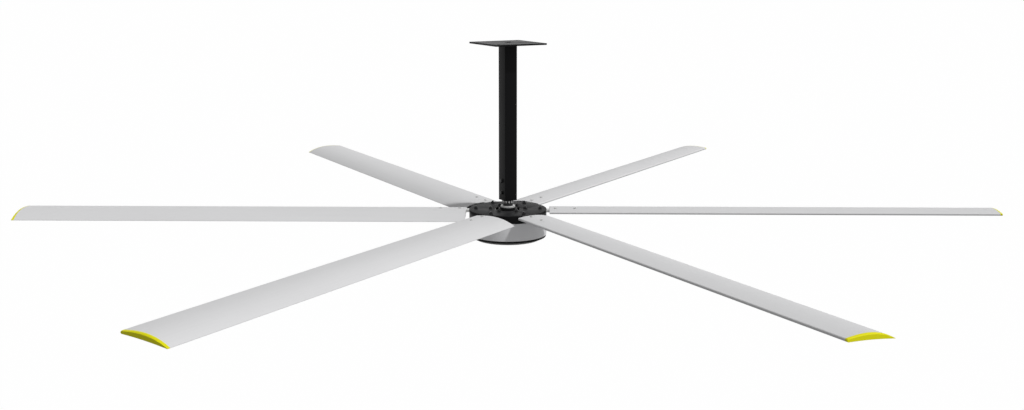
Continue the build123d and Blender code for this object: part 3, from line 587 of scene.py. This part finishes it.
neck_profile = [(neck_bore, neck_low[2]), (neck_radius, neck_low[2]), (neck_radius, neck_high[2]),
                (neck_bore, neck_high[2])]
settle("motor_neck_turned", lathe(rounded(neck_profile, 1.0 * MM)), "black_powder_coat", "rotor",
       ["motor_neck"])

drum_low = housing_bottom - 2 * MM
rim_inside = housing_radius - rim_wall
housing_profile = [
    (flange_bore, flange_top), (rim_inside, flange_top), (rim_inside, housing_top),
    (housing_radius, housing_top), (housing_radius, drum_low), (rim_inside, drum_low),
    (rim_inside, flange_under), (flange_bore, flange_under),
]
settle("motor_housing_spun", lathe(rounded(housing_profile, 1.5 * MM)), "spun_aluminium", "rotor",
       ["motor_housing"])

lid_radius = housing_radius - 2 * MM
lid_wall = 5 * MM
cover_profile = [
    (0, face_low), (lid_face_radius, face_low), (lid_radius, lid_edge), (lid_radius, drum_low),
    (lid_radius - rim_wall, drum_low), (lid_face_radius - 2 * MM, face_low + lid_wall),
    (0, face_low + lid_wall),
]
settle("bottom_cover_pressed", lathe(rounded(cover_profile, 2.0 * MM)), "black_powder_coat", "rotor",
       ["bottom_cover"])
print("turned pieces: neck, housing, cover")

# %% [markdown]
# Geometry Nodes: a small workshop
#
# What repeats on the fan is made by node trees: the blades, the bolts and nuts, and the weld. Each tree has
# named inputs for its sizes, like a jig with adjustable stops. The helper below makes a tree with its inputs,
# and a second one runs a tree on a base mesh and keeps the result as a plain mesh.

# %% Tree helpers
def new_tree(name, sizes):
    tree = bpy.data.node_groups.new(name, "GeometryNodeTree")
    tree.interface.new_socket("Geometry", in_out="INPUT", socket_type="NodeSocketGeometry")
    for label, (kind, value) in sizes.items():
        socket = tree.interface.new_socket(label, in_out="INPUT", socket_type=kind)
        if value is not None:
            socket.default_value = value
    tree.interface.new_socket("Geometry", in_out="OUTPUT", socket_type="NodeSocketGeometry")
    source = tree.nodes.new("NodeGroupInput").outputs
    target = tree.nodes.new("NodeGroupOutput").inputs
    return tree, source, target


def grow(tree, base, values):
    holder = bpy.data.objects.new("holder", base)
    bpy.context.collection.objects.link(holder)
    modifier = holder.modifiers.new("tree", "NODES")
    modifier.node_group = tree
    for item in tree.interface.items_tree:
        if item.in_out == "INPUT" and item.name in values:
            modifier[item.identifier] = values[item.name]
    graph = bpy.context.evaluated_depsgraph_get()
    result = bpy.data.meshes.new_from_object(holder.evaluated_get(graph))
    holder.modifiers.remove(modifier)
    bpy.data.objects.remove(holder)
    return result


def points_mesh(points):
    mesh = bpy.data.meshes.new("seats")
    mesh.from_pydata([tuple(point) for point in points], [], [])
    return mesh


# %% [markdown]
# The blade, a main piece that follows a rule
#
# A blade is one section pushed straight through a die. The section has a half round nose, a crowned top, a
# nearly flat underside and a thin tail, and inside it two webs stand beside the channel that takes the strut.
# Its curves are the same formulas as the solid's, so the mesh is the section's outline and its hollows as
# closed loops. The tree fills the outline around the hollows, pushes it out to its length, closes the near
# end and turns it into place. The pushed distance is also kept as the map that the finish reads.

# %% Section of the blade
chord = 215.2
nose_to_axis = 51.1
pitch_deg = 6.39
nose_thickness = 12.9
crown_height = 18.5
crown_shift = -0.203
belly_height = 3.0
tail_thickness = 1.8
skin = 2.2
belly_skin = 1.6
web = 2.4
channel_half = 19.2
blade_root = 208.0
cap_start = 2428.0
fan_radius = 2440.0


def crown(share):
    bump = 4 * share * (1 - share) * (1 + crown_shift * (1 - 2 * share))
    return nose_thickness / 2 * (1 - share) + crown_height * bump


def belly(share):
    return -nose_thickness / 2 * (1 - share) + belly_height * 4 * share * (1 - share)


def outline(steps=40, nose_steps=10):
    top = [(chord * k / steps, crown(k / steps) + tail_thickness / 2 * k / steps) for k in range(steps, 0, -1)]
    half = nose_thickness / 2
    nose = [(-half * sin(pi * k / nose_steps), half * cos(pi * k / nose_steps)) for k in range(nose_steps + 1)]
    low = [(chord * k / steps, belly(k / steps) - tail_thickness / 2 * k / steps) for k in range(1, steps + 1)]
    return top + nose + low


def hollow(start, end, steps=14):
    shares = [start + (end - start) * k / steps for k in range(steps + 1)]
    top = [(chord * s, crown(s) - skin) for s in reversed(shares)]
    low = [(chord * s, belly(s) + belly_skin) for s in shares]
    return top + low


def loops_mesh(loops):
    points, edges = [], []
    for loop in loops:
        first = len(points)
        points += [(x * MM, y * MM, 0) for x, y in loop]
        edges += [(first + k, first + (k + 1) % len(loop)) for k in range(len(loop))]
    mesh = bpy.data.meshes.new("section")
    mesh.from_pydata(points, edges, [])
    return mesh


front_web = (nose_to_axis - channel_half - web) / chord
rear_web = (nose_to_axis + channel_half + web) / chord
channel_low, channel_high = 0.5, 12.9
channel = [(front_web * chord + web, channel_low), (rear_web * chord - web, channel_low),
           (rear_web * chord - web, channel_high), (front_web * chord + web, channel_high)]
hollow_shares = [(0.004, front_web), (rear_web, 0.61), (0.63, 0.93)]
blade_section = [outline()] + [hollow(start, end) for start, end in hollow_shares] + [channel]
print("loops of the section:", len(blade_section), "points of the outline:", len(blade_section[0]))

# %% Tree that extrudes a section along a blade
push, given, result = new_tree("extruded_section", {
    "Start": ("NodeSocketFloat", 0.2), "Length": ("NodeSocketFloat", 1.0),
    "Axis Offset": ("NodeSocketFloat", 0.05), "Height": ("NodeSocketFloat", 0.0),
    "Pitch": ("NodeSocketFloat", 0.1), "Angle": ("NodeSocketFloat", 0.0),
    "Material": ("NodeSocketMaterial", None),
})
loops = add(push, "GeometryNodeMeshToCurve", {0: given["Geometry"]})
face = add(push, "GeometryNodeFillCurve", {"Curve": loops.outputs[0]}, mode="NGONS")
away = add(push, "ShaderNodeCombineXYZ", {"Z": given["Length"]})
body = add(push, "GeometryNodeExtrudeMesh", {"Mesh": face.outputs[0], "Offset": away.outputs[0],
                                             "Individual": False, "Offset Scale": 1.0}, mode="FACES")
near_end = add(push, "GeometryNodeFlipFaces", {0: face.outputs[0]})
closed = add(push, "GeometryNodeJoinGeometry")
push.links.new(near_end.outputs[0], closed.inputs[0])
push.links.new(body.outputs["Mesh"], closed.inputs[0])
merged = add(push, "GeometryNodeMergeByDistance", {"Geometry": closed.outputs[0], "Distance": 0.01 * MM})
mapped = add(push, "GeometryNodeStoreNamedAttribute", {
    "Geometry": merged.outputs[0], "Name": "grain", "Value": add(push, "GeometryNodeInputPosition").outputs[0]},
    data_type="FLOAT_VECTOR", domain="POINT")
upright = add(push, "GeometryNodeTransform", {"Geometry": mapped.outputs[0], "Rotation": (pi / 2, 0, pi / 2)})
lean = add(push, "ShaderNodeCombineXYZ", {"X": given["Pitch"]})
leaning = add(push, "GeometryNodeTransform", {"Geometry": upright.outputs[0], "Rotation": lean.outputs[0]})
out = add(push, "ShaderNodeCombineXYZ", {"X": given["Start"], "Y": given["Axis Offset"], "Z": given["Height"]})
placed = add(push, "GeometryNodeTransform", {"Geometry": leaning.outputs[0], "Translation": out.outputs[0]})
swing = add(push, "ShaderNodeCombineXYZ", {"Z": given["Angle"]})
turned = add(push, "GeometryNodeTransform", {"Geometry": placed.outputs[0], "Rotation": swing.outputs[0]})
real = add(push, "GeometryNodeRealizeInstances", {0: turned.outputs[0]})
coated = add(push, "GeometryNodeSetMaterial", {"Geometry": real.outputs[0], "Material": given["Material"]})
push.links.new(coated.outputs[0], result["Geometry"])

# %% Six blades
pitch = radians(pitch_deg)
nose_height = rotor_height + nose_to_axis * tan(pitch) * MM
for number, angle in enumerate(blade_angles, 1):
    mesh = grow(push, loops_mesh(blade_section), {
        "Start": blade_root * MM, "Length": (cap_start - blade_root) * MM, "Axis Offset": -nose_to_axis * MM,
        "Height": nose_height, "Pitch": -pitch, "Angle": radians(angle), "Material": finish["blade_aluminium"]})
    settle(f"blade_{number}_extrusion", mesh, "blade_aluminium", "rotor", [f"blade_{number}"])
print("blade faces:", len(mesh.polygons))

# %% [markdown]
# Yellow end caps
#
# Each blade is closed by a moulded cap of the same outline. Its top slopes down over the last few
# millimetres, so that the air leaves the tip without a sharp edge, while its underside stays level. The cap
# is a row of four outlines: the first is full, and each of the next keeps a little less of the height.

# %% Six end caps
cap_rows = [(cap_start, 1.0), (cap_start + 5.0, 0.99), (cap_start + 9.5, 0.92), (fan_radius, 0.8)]


def cap_mesh(angle):
    lay_down = Euler((-pitch, 0, 0)).to_matrix() @ Euler((pi / 2, 0, pi / 2)).to_matrix()
    swing = Euler((0, 0, radians(angle))).to_matrix()
    corner = Vector((0, -nose_to_axis * MM, nose_height))
    shape = bmesh.new()
    rows = []
    for distance, kept in cap_rows:
        row = []
        for x, y in outline():
            share = min(max(x / chord, 0.0), 1.0)
            floor_y = belly(share) - tail_thickness / 2 * share
            local = Vector((x, floor_y + (y - floor_y) * kept, distance)) * MM
            row.append(shape.verts.new(swing @ (corner + lay_down @ local)))
        rows.append(row)
    for first, second in zip(rows, rows[1:]):
        for n in range(len(first)):
            m = (n + 1) % len(first)
            shape.faces.new((first[n], first[m], second[m], second[n]))
    shape.faces.new(rows[0])
    shape.faces.new(rows[-1])
    return closed_mesh(shape, "cap")


for number, angle in enumerate(blade_angles, 1):
    mesh = cap_mesh(angle)
    settle(f"tip_cap_{number}_moulded", mesh, "yellow_plastic", "rotor", [f"tip_cap_{number}"],
           smooth_deg=30.0)
print("cap faces:", len(mesh.polygons))

# %% [markdown]
# Hex bolts
#
# A bolt head is a hexagon with its corners turned off by a flat cone, on a thin round washer face. Its shank
# is grooved by the thread, and on the struts a short end of it also stands out above the hexagon. The tree
# builds one bolt from those simple solids, puts a copy on each seat, points it and gives each its own turn,
# because a spanner never leaves two heads alike. The seats are the vertices of a small base mesh.

# %% Tree for hex bolts and nuts
corner_share = 0.57735
face_share = 0.475
disc_share = 0.15
waist_share = 0.7


def up_by(tree, piece, height):
    lift = add(tree, "ShaderNodeCombineXYZ", {"Z": height})
    return add(tree, "GeometryNodeTransform", {"Geometry": piece.outputs[0], "Translation": lift.outputs[0]})


def times(tree, value, share):
    return add(tree, "ShaderNodeMath", {0: value, 1: share}, operation="MULTIPLY").outputs[0]


def hex_tree(name, is_nut):
    tree, given, result = new_tree(name, {
        "Flats": ("NodeSocketFloat", 0.017), "Head": ("NodeSocketFloat", 0.0064),
        "Shank Radius": ("NodeSocketFloat", 0.005), "Shank Length": ("NodeSocketFloat", 0.04),
        "Tail": ("NodeSocketFloat", 0.0005),
        "Thread Pitch": ("NodeSocketFloat", 0.0015), "Direction": ("NodeSocketVector", (0, 0, 0)),
        "Seed": ("NodeSocketInt", 1), "Material": ("NodeSocketMaterial", None),
    })
    corner = times(tree, given["Flats"], corner_share)
    face_radius = times(tree, given["Flats"], face_share)
    waist = times(tree, given["Head"], waist_share)
    cone = times(tree, given["Head"], disc_share)
    prism = add(tree, "GeometryNodeMeshCylinder", {"Vertices": 6, "Radius": corner, "Depth": waist})
    prism_up = up_by(tree, prism, times(tree, given["Head"], 0.5))
    top = add(tree, "GeometryNodeMeshCone", {
        "Vertices": 6, "Radius Top": face_radius, "Radius Bottom": corner, "Depth": cone})
    top_up = up_by(tree, top, times(tree, given["Head"], 1 - disc_share))
    disc = add(tree, "GeometryNodeMeshCylinder", {"Vertices": 24, "Radius": face_radius, "Depth": cone})
    disc_up = up_by(tree, disc, times(tree, cone, 0.5))
    shank = add(tree, "GeometryNodeMeshCylinder", {
        "Vertices": 20, "Side Segments": 24, "Radius": given["Shank Radius"], "Depth": given["Shank Length"]})
    place = add(tree, "GeometryNodeInputPosition")
    depth = add(tree, "ShaderNodeSeparateXYZ", {0: place.outputs[0]})
    turns = add(tree, "ShaderNodeMath", {0: depth.outputs["Z"], 1: given["Thread Pitch"]}, operation="DIVIDE")
    wave = add(tree, "ShaderNodeMath", {0: turns.outputs[0], 1: 0.0, 2: 1.0}, operation="WRAP")
    groove = add(tree, "ShaderNodeMapRange", {"Value": wave.outputs[0], "To Min": -0.1, "To Max": 0.0})
    outward = add(tree, "ShaderNodeVectorMath", {0: place.outputs[0], 1: (1, 1, 0)}, operation="MULTIPLY")
    cut = add(tree, "ShaderNodeVectorMath", {
        0: outward.outputs[0], "Scale": groove.outputs[0]}, operation="SCALE")
    threaded = add(tree, "GeometryNodeSetPosition", {
        "Geometry": shank.outputs["Mesh"], "Offset": cut.outputs[0]})
    shank_down = up_by(tree, threaded, times(tree, given["Shank Length"], -0.5))
    tail = add(tree, "GeometryNodeMeshCylinder", {
        "Vertices": 20, "Radius": given["Shank Radius"], "Depth": given["Tail"]})
    tail_mid = add(tree, "ShaderNodeMath", {
        0: given["Tail"], 1: 0.5, 2: given["Head"]}, operation="MULTIPLY_ADD")
    tail_up = up_by(tree, tail, tail_mid.outputs[0])
    parts = add(tree, "GeometryNodeJoinGeometry")
    for piece in [prism_up, top_up, disc_up] + ([] if is_nut else [shank_down, tail_up]):
        tree.links.new(piece.outputs[0], parts.inputs[0])
    seats = add(tree, "GeometryNodeMeshToPoints", {"Mesh": given["Geometry"]})
    copies = add(tree, "GeometryNodeInstanceOnPoints", {
        "Points": seats.outputs[0], "Instance": parts.outputs[0], "Rotation": given["Direction"]})
    chance = add(tree, "FunctionNodeRandomValue", {"Seed": given["Seed"], 2: 0.0, 3: 2 * pi}, data_type="FLOAT")
    spin = add(tree, "ShaderNodeCombineXYZ", {"Z": chance.outputs[1]})
    spun = add(tree, "GeometryNodeRotateInstances", {
        "Instances": copies.outputs[0], "Rotation": spin.outputs[0], "Local Space": True})
    real = add(tree, "GeometryNodeRealizeInstances", {0: spun.outputs[0]})
    coated = add(tree, "GeometryNodeSetMaterial", {"Geometry": real.outputs[0], "Material": given["Material"]})
    tree.links.new(coated.outputs[0], result["Geometry"])
    return tree


bolt_tree = hex_tree("hex_bolt_set", False)
nut_tree = hex_tree("hex_nut_set", True)

# %% Seats of the bolts
def ring_seats(radii, height):
    return [(r * MM * cos(radians(a)), r * MM * sin(radians(a)), height) for r in radii for a in blade_angles]


strut_low, strut_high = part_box("strut_bolts")
strut_nut_low, strut_nut_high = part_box("strut_nuts")
blade_bolt_low, blade_bolt_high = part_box("blade_bolts")
blade_nut_low, blade_nut_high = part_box("blade_nuts")
tube_bolt_low, tube_bolt_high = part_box("tube_bolts")
tube_nut_low, tube_nut_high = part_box("tube_nuts")
strut_head = 6.4 * MM
blade_head = 5.3 * MM
cross_head = 7.5 * MM
strut_circles = (87, 161)
blade_circles = (239, 336)
cross_rises_mm = (38, 98)
down = (pi, 0, 0)


def fastened(name, tree, seats, node, values):
    mesh = grow(tree, points_mesh(seats), dict(values, Material=finish[record_slot[node]]))
    settle(name, mesh, record_slot[node], body_of[node], [node], smooth_deg=28.0)


fastened("strut_bolt_set", bolt_tree, ring_seats(strut_circles, strut_high[2] - strut_head), "strut_bolts",
         {"Flats": 17 * MM, "Head": strut_head, "Shank Radius": 5 * MM,
          "Shank Length": strut_high[2] - strut_head - strut_low[2], "Thread Pitch": 1.5 * MM,
          "Tail": 4.5 * MM, "Seed": 3})
fastened("strut_nut_set", nut_tree, ring_seats(strut_circles, strut_nut_high[2]), "strut_nuts",
         {"Flats": 17 * MM, "Head": strut_nut_high[2] - strut_nut_low[2], "Direction": down, "Seed": 5})
fastened("blade_bolt_set", bolt_tree, ring_seats(blade_circles, blade_bolt_high[2] - blade_head), "blade_bolts",
         {"Flats": 13 * MM, "Head": blade_head, "Shank Radius": 4 * MM,
          "Shank Length": blade_bolt_high[2] - blade_head - blade_bolt_low[2],
          "Thread Pitch": 1.25 * MM, "Seed": 7})
fastened("blade_nut_set", nut_tree, ring_seats(blade_circles, blade_nut_high[2]), "blade_nuts",
         {"Flats": 13 * MM, "Head": blade_nut_high[2] - blade_nut_low[2], "Direction": down, "Seed": 9})
bolt_heights = [tube_low[2] + rise * MM for rise in cross_rises_mm]
head_seats = [(tube_bolt_low[0] + cross_head, 0, z) for z in bolt_heights]
fastened("tube_bolt_set", bolt_tree, head_seats, "tube_bolts",
         {"Flats": 18 * MM, "Head": cross_head, "Shank Radius": 6 * MM,
          "Shank Length": tube_bolt_high[0] - tube_bolt_low[0] - cross_head, "Thread Pitch": 1.75 * MM,
          "Direction": (0, -pi / 2, 0), "Seed": 11})
nut_seats = [(tube_nut_low[0], 0, z) for z in bolt_heights]
fastened("tube_nut_set", nut_tree, nut_seats, "tube_nuts",
         {"Flats": 18 * MM, "Head": tube_nut_high[0] - tube_nut_low[0], "Direction": (0, pi / 2, 0),
          "Seed": 13})
ring_count = len(strut_circles) + len(blade_circles)
print("bolt seats:", ring_count * len(blade_angles) + len(head_seats))

# %% [markdown]
# The weld under the ceiling plate
#
# The tube is welded to the plate all round. A weld is a row of small overlapping ripples, one for each dab of
# the torch, and a hand never makes two of them the same. The tree walks round a square of edges, sets a
# round drop at each step and changes its size a little by chance.

# %% Weld bead
weld_step_mm = 4.0
weld_radius_mm = 3.5
weld, given, result = new_tree("weld_bead", {
    "Step": ("NodeSocketFloat", 0.004), "Bead": ("NodeSocketFloat", 0.004), "Seed": ("NodeSocketInt", 1),
    "Material": ("NodeSocketMaterial", None),
})
track = add(weld, "GeometryNodeMeshToCurve", {0: given["Geometry"]})
dabs = add(weld, "GeometryNodeResampleCurve", {
    "Curve": track.outputs[0], "Length": given["Step"]}, mode="LENGTH")
drop = add(weld, "GeometryNodeMeshIcoSphere", {"Radius": given["Bead"], "Subdivisions": 2})
size = add(weld, "FunctionNodeRandomValue", {"Seed": given["Seed"], 2: 0.85, 3: 1.1}, data_type="FLOAT")
ripples = add(weld, "GeometryNodeInstanceOnPoints", {
    "Points": dabs.outputs[0], "Instance": drop.outputs[0], "Scale": size.outputs[1]})
real = add(weld, "GeometryNodeRealizeInstances", {0: ripples.outputs[0]})
coated = add(weld, "GeometryNodeSetMaterial", {"Geometry": real.outputs[0], "Material": given["Material"]})
weld.links.new(coated.outputs[0], result["Geometry"])

side = (tube_half_mm + 0.5) * MM
weld_level = plate_bottom - 0.5 * MM
corners = [(x, y, weld_level) for x, y in ((side, side), (-side, side), (-side, -side), (side, -side))]
track_mesh = bpy.data.meshes.new("track")
track_mesh.from_pydata(corners, [(k, (k + 1) % 4) for k in range(4)], [])
bead = grow(weld, track_mesh, {
    "Step": weld_step_mm * MM, "Bead": weld_radius_mm * MM, "Seed": 17,
    "Material": finish["black_powder_coat"]})
settle("tube_weld_bead", bead, "black_powder_coat", "hanger")
print("weld faces:", len(bead.polygons))
